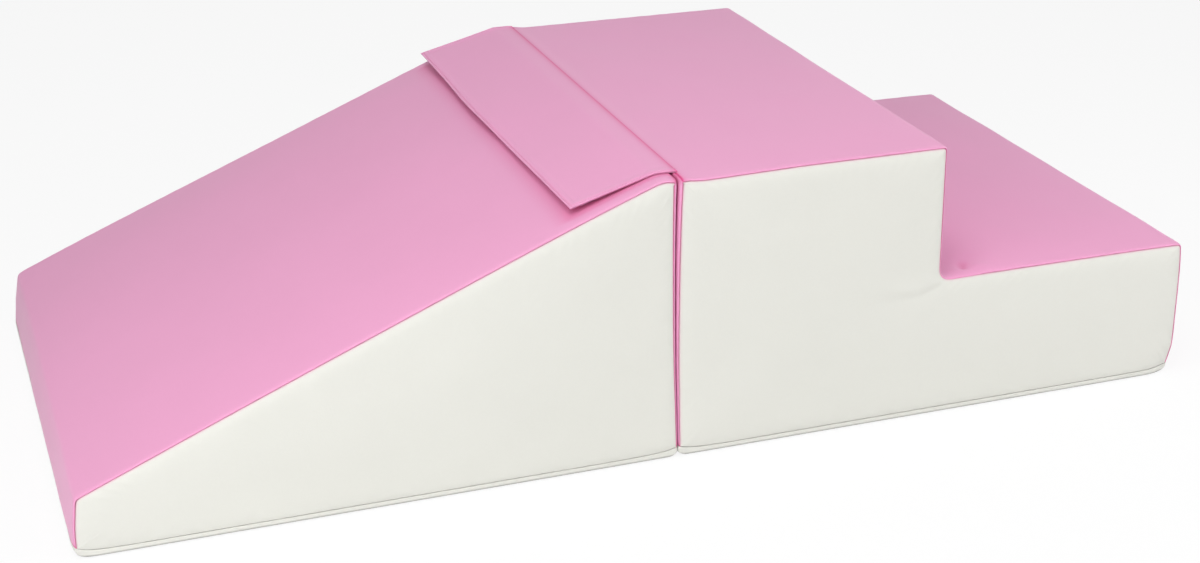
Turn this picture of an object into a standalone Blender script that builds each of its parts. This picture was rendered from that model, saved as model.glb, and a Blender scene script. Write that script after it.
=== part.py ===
"""Soft play foam climber: a foam ramp and a foam step block, each in a zipped cover, joined by a flap.

Metres, +Z up, +X from the ramp's toe to the low step, +Y away from the side that is seen first.
The origin is on the floor, in the middle of the whole climber.

Each cover is a stuffed form: an outline in the XZ plane, carried across the block's width, with a
crown that swells between the seams. Every panel, and the foam inside, is the same form sunk to
another depth, so that they follow each other with one clearance.
"""

import math

import bmesh
import bpy
import numpy as np

# Blocks
block_width = 0.600
block_gap = 0.005
base_flare = 0.0015

# Ramp block, measured at the seams. Its crest rises above the step block's top, up to a corner
# that the crest's round then cuts off.
ramp_length = 0.600
crest_rise = 0.0095
crest_round = 0.014
toe_height = 0.065
toe_lean = 0.010
toe_round = 0.013

# Step block, measured at the seams
steps_length = 0.595
steps_height = 0.3045
tread_depth = 0.300
tread_height = 0.155
top_round = 0.006
nose_round = 0.005
inner_round = 0.018

# Covers
cover_thickness = 0.0012
fit_gap = 0.0003
band_height = 0.0105
base_round = 0.010
base_draw = 0.005
base_corner_round = 0.0035
seam_round = 0.005
seam_draw = 0.002
cut_overrun = 0.002

# Crowns: how far the middle of a face stands proud of its seams
slope_crown = 0.004
slope_bow = 0.003
toe_crown = 0.002
back_crown = 0.0006
top_crown = 0.003
riser_crown = 0.003
tread_crown = 0.003
end_crown = 0.004
side_crown = 0.005
side_reach = 0.028
heart_round = 0.002

# Flap
flap_length = 0.560
flap_width = 0.118
flap_cloth = 0.0009
lining_cloth = 0.0007
lining_start = 0.012
lining_inset = 0.001
flap_near_lift = 0.009
flap_middle_lift = 0.0075
flap_far_lift = 0.016
flap_ripple = 0.0006
tape_thickness = 0.0012
tape_width = 0.038
tape_inset = 0.014
tape_end_inset = 0.010

# Zip under each base
zip_margin = 0.060
channel_width = 0.034
channel_depth = 0.008
slot_width = 0.014
slot_end = 0.006
zip_tape_width = 0.013
zip_tape_thickness = 0.0006
coil_width = 0.005
coil_height = 0.0022
coil_round = 0.0007
stop_length = 0.003
slider_length = 0.013
slider_nose = 0.004
slider_wall = 0.0014
slider_plate = 0.0013
bridge_length = 0.007
bridge_width = 0.003
bridge_height = 0.0018
bridge_bar = 0.0008

# Shares
column_shares = (0.88, 0.60, 0.25)
seam_shares = (0.0, 0.36, 1.0)
seam_place_shares = (0.0, 0.6, 1.0)
side_ring_shares = (0.0, 0.12, 0.35, 0.68, 1.0)
arc_shares = (0.0, 0.34, 0.67, 1.0)
wide_arc_shares = (0.0, 0.2, 0.4, 0.6, 0.8, 1.0)
crest_shares = (0.0, 0.25, 0.5, 0.75, 1.0)
point_shares = (0.5,)
flap_column_shares = (-1.0, -0.9, -0.72, -0.5, -0.25, 0.0, 0.25, 0.5, 0.72, 0.9, 1.0)
ripple_waves_share = 2.3

# Counts, powers and angles
flap_parts = 6
crown_power = 4
side_power = 3
crease_angle = 40

# Colours, as linear values, and how each surface shines
pink = (0.77, 0.37, 0.56)
deep_pink = (0.70, 0.28, 0.47)
white = (0.80, 0.79, 0.75)
foam_grey = (0.62, 0.62, 0.60)
metal = (0.62, 0.62, 0.64)
satin_rough = 0.42
matt_rough = 0.85

# Places that follow from the sizes
half_width = block_width / 2
core_depth = cover_thickness + fit_gap
side_depth = seam_draw + core_depth
side_floor = band_height + fit_gap
steps_front = steps_length - tread_depth
ramp_height = steps_height + crest_rise
joint_x = (ramp_length + toe_lean - block_gap - steps_length - end_crown) / 2
steps_x = joint_x + block_gap
slope_angle = math.atan2(ramp_height - toe_height, ramp_length)
crest_drop = crest_round * (math.tan(slope_angle) + 1 / math.cos(slope_angle) - 1)
flap_seat = flap_cloth / 2 + lining_cloth + 2 * fit_gap
seam_inset = core_depth + flap_cloth
hinge_x = block_gap + seam_inset
hinge_z = ramp_height - crest_drop + flap_seat


def turned(vector, angle):
    """A plane vector turned anticlockwise by an angle."""
    cosine, sine = math.cos(angle), math.sin(angle)
    return np.array([cosine * vector[0] - sine * vector[1], sine * vector[0] + cosine * vector[1]])


def bump(share):
    """Swelling along an edge: nothing at both ends, full in the middle, nearly flat between."""
    return 1 - abs(2 * share - 1) ** crown_power


class Outline:
    """A closed outline in the XZ plane, walked anticlockwise and sampled at its corners and edges.

    Each corner is (name, x, z, radius, shares): the shares are the places of the samples round its arc.
    Each edge is (crown, bow, parts), and leaves the corner of the same index.
    """

    def __init__(self, corners, edges):
        places = np.array([corner[1:3] for corner in corners])
        ahead = np.roll(places, -1, axis=0) - places
        ahead /= np.linalg.norm(ahead, axis=1)[:, None]
        behind = np.roll(ahead, 1, axis=0)
        across = behind[:, 0] * ahead[:, 1] - behind[:, 1] * ahead[:, 0]
        turns = np.arctan2(across, (behind * ahead).sum(axis=1))
        radii = np.array([corner[3] for corner in corners])
        reach = radii * np.tan(np.abs(turns) / 2)
        place, normal, crown = [], [], []
        self.spans, self.centres, self.runs = {}, {}, {}
        for index, (name, _, _, radius, shares) in enumerate(corners):
            side = 1 if turns[index] >= 0 else -1
            entering = np.array([behind[index, 1], -behind[index, 0]])
            centre = places[index] - behind[index] * reach[index] - side * radius * entering
            first = len(place)
            for share in shares:
                facing = turned(entering, share * turns[index])
                place.append(centre + side * radius * facing)
                normal.append(facing)
                crown.append(0.0)
            self.spans[name] = (first, len(place) - 1)
            self.centres[name] = centre
            after = (index + 1) % len(corners)
            start = places[index] + ahead[index] * reach[index]
            finish = places[after] - ahead[index] * reach[after]
            self.runs[name] = np.linalg.norm(finish - start)
            facing = np.array([ahead[index, 1], -ahead[index, 0]])
            edge_crown, edge_bow, parts = edges[index]
            for step in range(1, parts):
                swell = bump(step / parts)
                place.append(start + (finish - start) * step / parts + facing * edge_bow * swell)
                normal.append(facing)
                crown.append(edge_crown * swell)
        self.place = np.array(place)
        self.normal = np.array(normal)
        self.crown = np.array(crown)
        self.draw = seam_draw + (base_draw - seam_draw) * np.maximum(0, -self.normal[:, 1])

    def rows(self, first, last):
        """Indices from one sample to another, round the end of the list where need be."""
        count = len(self.place)
        return [index % count for index in range(first, last + 1 + (count if last < first else 0))]

    def line(self, rows, depth, y):
        """The stuffed surface, sunk by a depth, along one line at a given y."""
        crest = 1 - abs(y / half_width) ** crown_power
        seam = [half_width - seam_round + seam_round * share for share in seam_place_shares]
        inward = depth + self.draw[rows] * np.interp(abs(y), seam, seam_shares)
        flat = self.place[rows] + self.normal[rows] * (self.crown[rows] * crest - inward)[:, None]
        return np.column_stack([flat[:, 0], np.full(len(rows), y), flat[:, 1]])


def columns(reach):
    """Places across the block, out to a given reach each way."""
    seam = [half_width - seam_round + seam_round * share for share in seam_place_shares]
    places = [half_width * share for share in column_shares] + seam
    half = sorted(place for place in places if place < reach - fit_gap) + [reach]
    return [-place for place in reversed(half)] + half


def loft(rings, banded=False):
    """Join closed rings of points into one closed skin of triangles.

    A banded ring runs out along one layer and back along another. Its ends are filled with a face
    for each pair of points, and both layers are split on the same diagonals, so that skins which
    follow each other keep their clearance. The ends of other rings are flat faces.
    """
    bm = bmesh.new()
    made = [[bm.verts.new(point) for point in ring] for ring in rings]
    count = len(made[0])
    for near, far in zip(made, made[1:]):
        for index in range(count):
            after = (index + 1) % count
            if banded and index >= count // 2:
                bm.faces.new((near[index], near[after], far[index]))
                bm.faces.new((near[after], far[after], far[index]))
            else:
                bm.faces.new((near[index], near[after], far[after]))
                bm.faces.new((near[index], far[after], far[index]))
    for ring in (made[0], made[-1]):
        if banded:
            for index in range(count // 2 - 1):
                bm.faces.new((ring[index], ring[index + 1], ring[-2 - index], ring[-1 - index]))
        else:
            bm.faces.new(ring)
    bmesh.ops.remove_doubles(bm, verts=bm.verts, dist=fit_gap / 100)
    bmesh.ops.recalc_face_normals(bm, faces=bm.faces)
    return bm


def box(low, high):
    """A plain box between two corners."""
    bm = bmesh.new()
    bmesh.ops.create_cube(bm, size=1.0)
    low, high = np.array(low), np.array(high)
    for vert in bm.verts:
        vert.co = (low + high) / 2 + np.array(vert.co) * (high - low)
    return bm


def add_object(name, bm, parent, color=None, roughness=satin_rough, metallic=0.0):
    """Make an object from a bmesh, under a parent, with a material of its own."""
    mesh = bpy.data.meshes.new(name)
    bm.to_mesh(mesh)
    bm.free()
    item = bpy.data.objects.new(name, mesh)
    bpy.context.scene.collection.objects.link(item)
    item.parent = parent
    if color is None:
        item.hide_render = True
        item.display_type = "WIRE"
        return item
    mesh.shade_smooth()
    mesh.set_sharp_from_angle(angle=math.radians(crease_angle))
    material = bpy.data.materials.new(name)
    material.use_nodes = True
    shader = material.node_tree.nodes["Principled BSDF"]
    shader.inputs["Base Color"].default_value = (*color, 1.0)
    shader.inputs["Roughness"].default_value = roughness
    shader.inputs["Metallic"].default_value = metallic
    mesh.materials.append(material)
    return item


def add_empty(name, location, parent=None):
    """An empty that carries the pieces of one body."""
    empty = bpy.data.objects.new(name, None)
    bpy.context.scene.collection.objects.link(empty)
    empty.location = location
    empty.parent = parent
    return empty


def boolean(item, cutter, operation):
    """Join a hidden solid to an object, or cut it away."""
    modifier = item.modifiers.new(cutter.name, "BOOLEAN")
    modifier.operation = operation
    modifier.solver = "EXACT"
    modifier.object = cutter


def strip(name, shape, first, last, trims, parent):
    """A cover panel that runs across the whole width, from one sample of the outline to another."""
    rows = shape.rows(first, last)
    rings = []
    for y in columns(half_width):
        outer = shape.line(rows, 0, y)
        inner = shape.line(rows, cover_thickness, y)
        for layer in (outer, inner):
            for end, neighbour, trim in ((0, 1, trims[0]), (-1, -2, trims[1])):
                along = layer[neighbour] - layer[end]
                layer[end] += along / np.linalg.norm(along) * trim
        rings.append(np.vstack([outer, inner[::-1]]))
    add_object(name, loft(rings, banded=True), parent, pink)


def side_rings(shape, heart, side, depth):
    """Rings of a crowned side, from its seams to the edge of its flat middle."""
    seam = shape.place - shape.normal * side_depth
    seam[:, 1] = np.maximum(seam[:, 1], side_floor)
    rings = []
    for share in side_ring_shares:
        flat = seam + (heart.place - seam) * share
        swell = side_crown * (1 - (1 - share) ** side_power)
        y = side * (half_width + swell - depth)
        rings.append(np.column_stack([flat[:, 0], np.full(len(flat), y), flat[:, 1]]))
    return rings


def side_panel(name, shape, heart, side, parent):
    """A white side panel: crowned outside and inside, one thickness apart."""
    outer = side_rings(shape, heart, side, 0)
    inner = side_rings(shape, heart, side, cover_thickness)
    rings = outer[::-1] + inner if side > 0 else inner[::-1] + outer
    add_object(name, loft(rings), parent, white)


def foam_body(shape, heart):
    """The foam as a closed skin: the stuffed form, one cover and one clearance below the outside."""
    rows = list(range(len(shape.place)))
    reach = half_width - core_depth
    rings = side_rings(shape, heart, -1, core_depth)[::-1]
    rings += [shape.line(rows, core_depth, y) for y in columns(reach)]
    rings += side_rings(shape, heart, 1, core_depth)
    return loft(rings)


def base_ring(low_x, high_x, depth, share):
    """One level of the base tray: a rounded rectangle, drawn in as its edge curls under.

    The share runs from nothing at the upright rim to one on the floor.
    """
    angle = share * math.pi / 2
    corner = max(base_corner_round - depth, fit_gap)
    inset_x = depth + (base_round - depth) * (1 - math.cos(angle))
    inset_y = depth + (seam_round - depth) * (1 - math.cos(angle))
    level_x = depth + (base_round - depth) * (1 - math.sin(angle))
    level_y = depth + (seam_round - depth) * (1 - math.sin(angle))
    low = np.array([low_x + inset_x, inset_y - half_width])
    high = np.array([high_x - inset_x, half_width - inset_y])
    centres = (
        ((high[0] - corner, high[1] - corner), 0.0),
        ((low[0] + corner, high[1] - corner), 0.5),
        ((low[0] + corner, low[1] + corner), 1.0),
        ((high[0] - corner, low[1] + corner), 1.5),
    )
    points = []
    for (x, y), quarter in centres:
        for step in arc_shares:
            turn = (quarter + step / 2) * math.pi
            towards_x = math.cos(turn) ** 2
            level = level_x * towards_x + level_y * (1 - towards_x)
            points.append((x + corner * math.cos(turn), y + corner * math.sin(turn), level))
    return np.array(points)


def base_cover(name, shape, zip_span, parent):
    """The white base tray, with a shallow channel for the zip and a slot along its roof."""
    low_x = shape.place[:, 0].min()
    high_x = shape.place[list(shape.rows(*shape.spans["base_right"])), 0].max()
    outer = [base_ring(low_x, high_x, 0, share) for share in arc_shares]
    inner = [base_ring(low_x, high_x, cover_thickness, share) for share in arc_shares]
    rims = [inner[0].copy(), outer[0].copy()]
    for rim in rims:
        rim[:, 2] = band_height
    tray = add_object(name, loft(inner[::-1] + rims + outer), parent, white)
    zip_low, zip_high = zip_span
    half = channel_width / 2
    wall = cover_thickness
    roof = channel_depth + wall
    hat = box((zip_low - wall, -half - wall, wall / 2), (zip_high + wall, half + wall, roof))
    hollow = box((zip_low, -half, -cut_overrun), (zip_high, half, channel_depth))
    slot_low, slot_high = zip_low + slot_end, zip_high - slot_end
    opening = box(
        (slot_low, -slot_width / 2, channel_depth - cut_overrun),
        (slot_high, slot_width / 2, roof + cut_overrun),
    )
    boolean(tray, add_object(name + "_hat", hat, parent), "UNION")
    boolean(tray, add_object(name + "_hollow", hollow, parent), "DIFFERENCE")
    boolean(tray, add_object(name + "_opening", opening, parent), "DIFFERENCE")


def zip_groove(name, zip_span, parent):
    """The room that the foam leaves round the channel and the zip tapes."""
    side = channel_width / 2 + cover_thickness + fit_gap
    end = cover_thickness + fit_gap
    top = channel_depth + cover_thickness + 2 * fit_gap + zip_tape_thickness
    low = (zip_span[0] - end, -side, -cut_overrun)
    high = (zip_span[1] + end, side, top)
    return add_object(name, box(low, high), parent)


def zip_chain(prefix, zip_span, parent):
    """Two tapes on the slot's edges, and the closed coil that hangs in the slot between its stops."""
    tape_low = channel_depth + cover_thickness + fit_gap
    tape_high = tape_low + zip_tape_thickness
    low_x = zip_span[0] + fit_gap
    high_x = zip_span[1] - fit_gap
    for label, side in (("near", -1), ("far", 1)):
        edges = sorted((side * fit_gap / 2, side * (fit_gap / 2 + zip_tape_width)))
        tape = box((low_x, edges[0], tape_low), (high_x, edges[1], tape_high))
        add_object(f"{prefix}_zip_tape_{label}", tape, parent, white, matt_rough)
    coil_top = tape_low - fit_gap
    coil_low = low_x + slot_end
    coil_high = high_x - slot_end
    half = coil_width / 2
    wide = slot_width / 2 - cover_thickness
    bottom = coil_top - coil_height
    flank = bottom + coil_round
    lengths = (
        (coil_low, wide),
        (coil_low + stop_length, wide),
        (coil_low + stop_length, half),
        (coil_high - stop_length, half),
        (coil_high - stop_length, wide),
        (coil_high, wide),
    )
    rings = []
    for x, reach in lengths:
        inner = reach - coil_round
        outline = ((reach, coil_top), (reach, flank), (inner, bottom))
        mirrored = [(-y, z) for y, z in reversed(outline)]
        rings.append([(x, y, z) for y, z in list(outline) + mirrored])
    add_object(f"{prefix}_zip_coil", loft(rings), parent, white, matt_rough)


def zip_slider(prefix, zip_span, parent):
    """The slider's outer half: a channel round the coil, with a bridge where a pull would hook on."""
    coil_top = channel_depth + cover_thickness
    bottom = coil_top - coil_height - fit_gap
    start = zip_span[0] + slot_end + 2 * fit_gap + stop_length
    middle = start + slider_length / 2
    joint = add_empty(f"{prefix}_zip_joint", (middle, 0, bottom), parent)
    inner = coil_width / 2 + fit_gap
    outer = inner + slider_wall
    top = coil_top - bottom
    rings = []
    half = slider_length / 2
    for x, reach in ((-half, outer), (half - slider_nose, outer), (half, outer - slider_wall / 2)):
        outline = ((reach, top), (reach, -slider_plate), (-reach, -slider_plate), (-reach, top))
        trough = ((-inner, top), (-inner, 0), (inner, 0), (inner, top))
        rings.append([(x, y, z) for y, z in outline + trough])
    body = add_object(f"{prefix}_zip_slider", loft(rings, banded=True), joint, metal, matt_rough, 1.0)
    reach = bridge_length / 2
    low = -slider_plate - bridge_height
    sunk = slider_plate / 2 - slider_plate
    outside = box((-reach, -bridge_width / 2, low), (reach, bridge_width / 2, sunk))
    bore = box(
        (bridge_bar - reach, -bridge_width, low + bridge_bar),
        (reach - bridge_bar, bridge_width, -slider_plate),
    )
    boolean(body, add_object(f"{prefix}_zip_bridge", outside, joint), "UNION")
    boolean(body, add_object(f"{prefix}_zip_bore", bore, joint), "DIFFERENCE")


def ramp_outline():
    """The ramp's side view: base, back, slope and toe, from the back plane at x = 0."""
    toe_x = -ramp_length - toe_lean
    corners = (
        ("base_left", toe_x, 0, base_round, arc_shares),
        ("base_right", base_flare, 0, base_round, arc_shares),
        ("band_right", base_flare, band_height, 0, point_shares),
        ("crest", 0, ramp_height, crest_round, crest_shares),
        ("toe", -ramp_length, toe_height, toe_round, arc_shares),
        ("band_left", toe_x, band_height, 0, point_shares),
    )
    edges = (
        (0, 0, 4),
        (0, 0, 1),
        (back_crown, 0, 4),
        (slope_crown, slope_bow, 8),
        (toe_crown, 0, 2),
        (0, 0, 1),
    )
    return Outline(corners, edges)


def ramp_heart():
    """Where the ramp's side becomes flat: its outline drawn in by the reach of the crown."""
    slant = side_reach / math.cos(slope_angle)
    slope = math.tan(slope_angle)
    floor = side_floor + side_reach
    back = -side_reach
    pinch = (floor + slant - ramp_height) / slope
    toe_x = pinch + side_reach
    toe_z = ramp_height + slope * toe_x - slant
    lip = floor + heart_round + fit_gap
    corners = (
        ("base_left", toe_x, floor, heart_round, arc_shares),
        ("base_right", back, floor, heart_round, arc_shares),
        ("band_right", back, lip, 0, point_shares),
        ("crest", back, ramp_height + slope * back - slant, heart_round, crest_shares),
        ("toe", toe_x, toe_z, heart_round, arc_shares),
        ("band_left", toe_x, lip, 0, point_shares),
    )
    edges = ((0, 0, 4), (0, 0, 1), (0, 0, 4), (0, 0, 8), (0, 0, 2), (0, 0, 1))
    return Outline(corners, edges)


def steps_outline():
    """The step block's side view: base, end, tread, riser and top, from its end face at x = 0."""
    sewn = top_round - seam_inset
    cover_end = math.asin((sewn - flap_cloth / 2 - fit_gap) / top_round)
    panel_end = math.asin((sewn + flap_cloth / 2 + fit_gap) / (top_round - cover_thickness))
    quarter = math.pi / 2
    flap_shares = (0, cover_end / quarter, panel_end / quarter, 1)
    corners = (
        ("base_left", -base_flare, 0, base_round, arc_shares),
        ("base_right", steps_length, 0, base_round, arc_shares),
        ("band_right", steps_length, band_height, 0, point_shares),
        ("nose", steps_length, tread_height, nose_round, arc_shares),
        ("inner", steps_front, tread_height, inner_round, wide_arc_shares),
        ("edge", steps_front, steps_height, nose_round, arc_shares),
        ("top", 0, steps_height, top_round, flap_shares),
        ("band_left", -base_flare, band_height, 0, point_shares),
    )
    edges = (
        (0, 0, 4),
        (0, 0, 1),
        (end_crown, 0, 4),
        (tread_crown, 0, 6),
        (riser_crown, 0, 4),
        (top_crown, 0, 6),
        (back_crown, 0, 4),
        (0, 0, 1),
    )
    return Outline(corners, edges)


def steps_heart():
    """Where the step block's side becomes flat."""
    left, right = side_reach, steps_length - side_reach
    floor = side_floor + side_reach
    front = steps_front - side_reach
    tread = tread_height - side_reach
    top = steps_height - side_reach
    lip = floor + heart_round + fit_gap
    corners = (
        ("base_left", left, floor, heart_round, arc_shares),
        ("base_right", right, floor, heart_round, arc_shares),
        ("band_right", right, lip, 0, point_shares),
        ("nose", right, tread, heart_round, arc_shares),
        ("inner", front, tread, heart_round, wide_arc_shares),
        ("edge", front, top, heart_round, arc_shares),
        ("top", left, top, heart_round, arc_shares),
        ("band_left", left, lip, 0, point_shares),
    )
    parts = (4, 1, 4, 6, 4, 6, 4, 1)
    return Outline(corners, [(0, 0, count) for count in parts])


def build_ramp():
    """The ramp block: foam, pink deck and back, white sides and base, and the zip."""
    parent = add_empty("ramp_place", (joint_x, 0, 0))
    shape, heart = ramp_outline(), ramp_heart()
    zip_span = (zip_margin - ramp_length - toe_lean, -zip_margin)
    foam = add_object("ramp_foam", foam_body(shape, heart), parent, foam_grey, matt_rough)
    boolean(foam, zip_groove("ramp_groove", zip_span, parent), "DIFFERENCE")
    spans = shape.spans
    seam = (spans["crest"][0] + spans["crest"][1]) // 2
    half_gap = fit_gap / 2
    strip("ramp_deck_cover", shape, seam, spans["band_left"][0], (half_gap, fit_gap), parent)
    strip("ramp_back_cover", shape, spans["band_right"][0], seam, (fit_gap, half_gap), parent)
    side_panel("ramp_side_near", shape, heart, -1, parent)
    side_panel("ramp_side_far", shape, heart, 1, parent)
    base_cover("ramp_base_cover", shape, zip_span, parent)
    zip_chain("ramp", zip_span, parent)
    zip_slider("ramp", zip_span, parent)


def cut_level(bm, level, keep_above):
    """Cut a closed skin at a level and close it again with one flat face."""
    everything = list(bm.verts) + list(bm.edges) + list(bm.faces)
    cut = bmesh.ops.bisect_plane(
        bm,
        geom=everything,
        plane_co=(0, 0, level),
        plane_no=(0, 0, 1),
        clear_inner=keep_above,
        clear_outer=not keep_above,
    )
    rim = [item for item in cut["geom_cut"] if isinstance(item, bmesh.types.BMEdge)]
    bmesh.ops.edgeloop_fill(bm, edges=rim)
    bmesh.ops.recalc_face_normals(bm, faces=bm.faces)


def build_steps():
    """The step block: two glued foam slabs, pink tread strip and end panel, white sides and base."""
    parent = add_empty("steps_place", (steps_x, 0, 0))
    cover, heart = steps_outline(), steps_heart()
    zip_span = (zip_margin, steps_length - zip_margin)
    glue_level = tread_height + tread_crown - core_depth + fit_gap
    lower = foam_body(cover, heart)
    cut_level(lower, glue_level - fit_gap / 2, False)
    slab = add_object("steps_lower_foam", lower, parent, foam_grey, matt_rough)
    boolean(slab, zip_groove("steps_groove", zip_span, parent), "DIFFERENCE")
    upper = foam_body(cover, heart)
    cut_level(upper, glue_level + fit_gap / 2, True)
    add_object("steps_upper_foam", upper, parent, foam_grey, matt_rough)
    spans = cover.spans
    cover_end, panel_end = spans["top"][0] + 1, spans["top"][0] + 2
    strip("steps_tread_cover", cover, spans["band_right"][0], cover_end, (fit_gap, 0), parent)
    strip("steps_end_cover", cover, panel_end, spans["band_left"][0], (0, fit_gap), parent)
    side_panel("steps_side_near", cover, heart, -1, parent)
    side_panel("steps_side_far", cover, heart, 1, parent)
    base_cover("steps_base_cover", cover, zip_span, parent)
    zip_chain("steps", zip_span, parent)
    zip_slider("steps", zip_span, parent)


class FlapPath:
    """The line that the flap follows: level from its hinge, round the ramp's crest, down the slope.

    Places are from the hinge's axis. Each layer lies at a height above or below this line.
    """

    def __init__(self):
        shape = ramp_outline()
        self.centre = shape.centres["crest"] - np.array([hinge_x, hinge_z])
        self.radius = -self.centre[1]
        self.lead = -self.centre[0]
        self.bend = self.radius * slope_angle
        self.slope_run = shape.runs["crest"]

    def samples(self, start, finish):
        """Distances along the line: at its bends, and evenly down the slope."""
        tangent = self.lead + self.bend
        marks = (0, self.lead / 2, self.lead, self.lead + self.bend / 2, tangent)
        spread = np.linspace(tangent, finish, flap_parts + 1)[1:-1]
        inside = [mark for mark in (*marks, *spread) if start + fit_gap < mark < finish - fit_gap]
        return [start] + inside + [finish]

    def lift(self, y):
        """How far the free edge stands up: most at the far end, least in the middle."""
        share = 2 * y / flap_length
        end_lift = flap_far_lift if share > 0 else flap_near_lift
        ripple = flap_ripple * math.sin(ripple_waves_share * math.pi * share) * (1 - share * share)
        return flap_middle_lift + (end_lift - flap_middle_lift) * share * share + ripple

    def point(self, along, y, height, lifted):
        """The place at a distance along the line, at a height above it."""
        past = along - self.lead
        angle = min(max(past / self.radius, 0), slope_angle)
        normal = np.array([-math.sin(angle), math.cos(angle)])
        if past < 0:
            flat = np.array([-along, height])
        else:
            down = max(past - self.bend, 0)
            crest = 1 - abs(y / half_width) ** crown_power
            swell = (slope_bow + slope_crown * crest) * bump(down / self.slope_run)
            free = past / (flap_width - self.lead)
            rise = swell + height + (self.lift(y) * free if lifted else 0)
            slope = np.array([-math.cos(angle), -math.sin(angle)])
            flat = self.centre + normal * (self.radius + rise) + slope * down
        return (flat[0], y, flat[1])

    def sheet(self, start, finish, reach, low, high, lifted=True, beaded=False):
        """A closed sheet between two heights, with a round bead at its hinge if wanted."""
        rings = []
        distances = self.samples(start, finish)
        for share in flap_column_shares:
            y = share * reach
            upper = [self.point(along, y, high, lifted) for along in distances]
            lower = [self.point(along, y, low, lifted) for along in distances]
            if beaded:
                cut = high * math.cos(math.pi / 4)
                upper.insert(0, (cut, y, cut))
                lower.insert(0, (cut, y, -cut))
            rings.append(upper + lower[::-1])
        return loft(rings, banded=True)


def build_flap():
    """The flap: its sewn edge on the step block, two layers and a hook tape, and the loop tape below."""
    steps_parent = bpy.data.objects["steps_place"]
    joint = add_empty("flap_joint", (seam_inset, 0, hinge_z), steps_parent)
    path = FlapPath()
    half = flap_cloth / 2
    reach = flap_length / 2
    foam_round = top_round - core_depth
    side = top_round - seam_inset - half
    foot = steps_height - top_round + math.sqrt(max(foam_round ** 2 - side ** 2, 0)) + fit_gap
    low = (seam_inset - half, -reach, foot)
    high = (seam_inset + half, reach, hinge_z - half - fit_gap)
    add_object("flap_sewn_edge", box(low, high), steps_parent, deep_pink)
    outer = path.sheet(0, flap_width, reach, -half, half, beaded=True)
    add_object("flap_outer", outer, joint, pink)
    lining_top = -half - fit_gap
    lining_low = lining_top - lining_cloth
    finish = flap_width - lining_inset
    lining = path.sheet(lining_start, finish, reach - lining_inset, lining_low, lining_top)
    add_object("flap_lining", lining, joint, pink)
    start, finish = flap_width - tape_inset - tape_width, flap_width - tape_inset
    tape_reach = reach - tape_end_inset
    hook_top = lining_low - fit_gap
    hook = path.sheet(start, finish, tape_reach, hook_top - tape_thickness, hook_top)
    add_object("flap_hook_tape", hook, joint, deep_pink, matt_rough)
    loop_low = fit_gap - flap_seat
    loop = path.sheet(start, finish, tape_reach, loop_low, loop_low + tape_thickness, lifted=False)
    loop_place = add_empty("loop_place", (hinge_x, 0, hinge_z), bpy.data.objects["ramp_place"])
    add_object("ramp_loop_tape", loop, loop_place, deep_pink, matt_rough)


for old in list(bpy.data.objects):
    bpy.data.objects.remove(old, do_unlink=True)
build_ramp()
build_steps()
build_flap()
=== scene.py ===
"""The looks of a soft play foam climber: two foam blocks in coated cloth covers, joined by a flap.

The sections follow the climber as it is put together. Metres throughout, in the frame of the solids.
"""

import math

import bmesh
import bpy
import numpy as np
from mathutils import Matrix, Vector


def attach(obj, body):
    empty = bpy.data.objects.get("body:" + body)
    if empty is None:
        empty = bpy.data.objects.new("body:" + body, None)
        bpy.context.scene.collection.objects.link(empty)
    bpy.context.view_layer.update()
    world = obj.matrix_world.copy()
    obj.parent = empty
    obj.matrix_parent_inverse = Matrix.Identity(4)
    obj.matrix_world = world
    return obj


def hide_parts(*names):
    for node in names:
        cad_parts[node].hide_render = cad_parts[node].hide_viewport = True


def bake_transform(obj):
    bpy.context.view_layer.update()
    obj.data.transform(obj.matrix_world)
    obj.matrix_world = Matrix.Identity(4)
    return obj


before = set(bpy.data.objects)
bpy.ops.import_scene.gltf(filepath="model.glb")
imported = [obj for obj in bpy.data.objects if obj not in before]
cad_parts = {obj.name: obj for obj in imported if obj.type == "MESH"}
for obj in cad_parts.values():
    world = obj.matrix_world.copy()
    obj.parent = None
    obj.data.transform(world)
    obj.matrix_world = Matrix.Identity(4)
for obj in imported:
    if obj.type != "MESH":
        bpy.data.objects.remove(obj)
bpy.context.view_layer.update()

# View
# The climber is seen from its ramp's side and from above, as a parent standing near it sees it.
# The camera's lens and place put the blocks' corners where the photograph has them.
def placed(name, data):
    """A new object of this data, in the scene."""
    item = bpy.data.objects.new(name, data)
    bpy.context.scene.collection.objects.link(item)
    return item


bpy.context.scene.view_settings.view_transform = "Standard"
glass = bpy.data.cameras.new("camera")
glass.sensor_width = 36
glass.lens = 61.758
glass.shift_x, glass.shift_y = -0.0719, 0.0217
camera = placed("camera", glass)
turn, tip, roll = (math.radians(angle) for angle in (-21.2, 66.843, 0.297))
camera.matrix_world = (
    Matrix.Translation((-0.6802, -2.0883, 0.9888))
    @ Matrix.Rotation(turn, 4, "Z")
    @ Matrix.Rotation(tip, 4, "X")
    @ Matrix.Rotation(roll, 4, "Z")
)
bpy.context.scene.camera = camera


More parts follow.
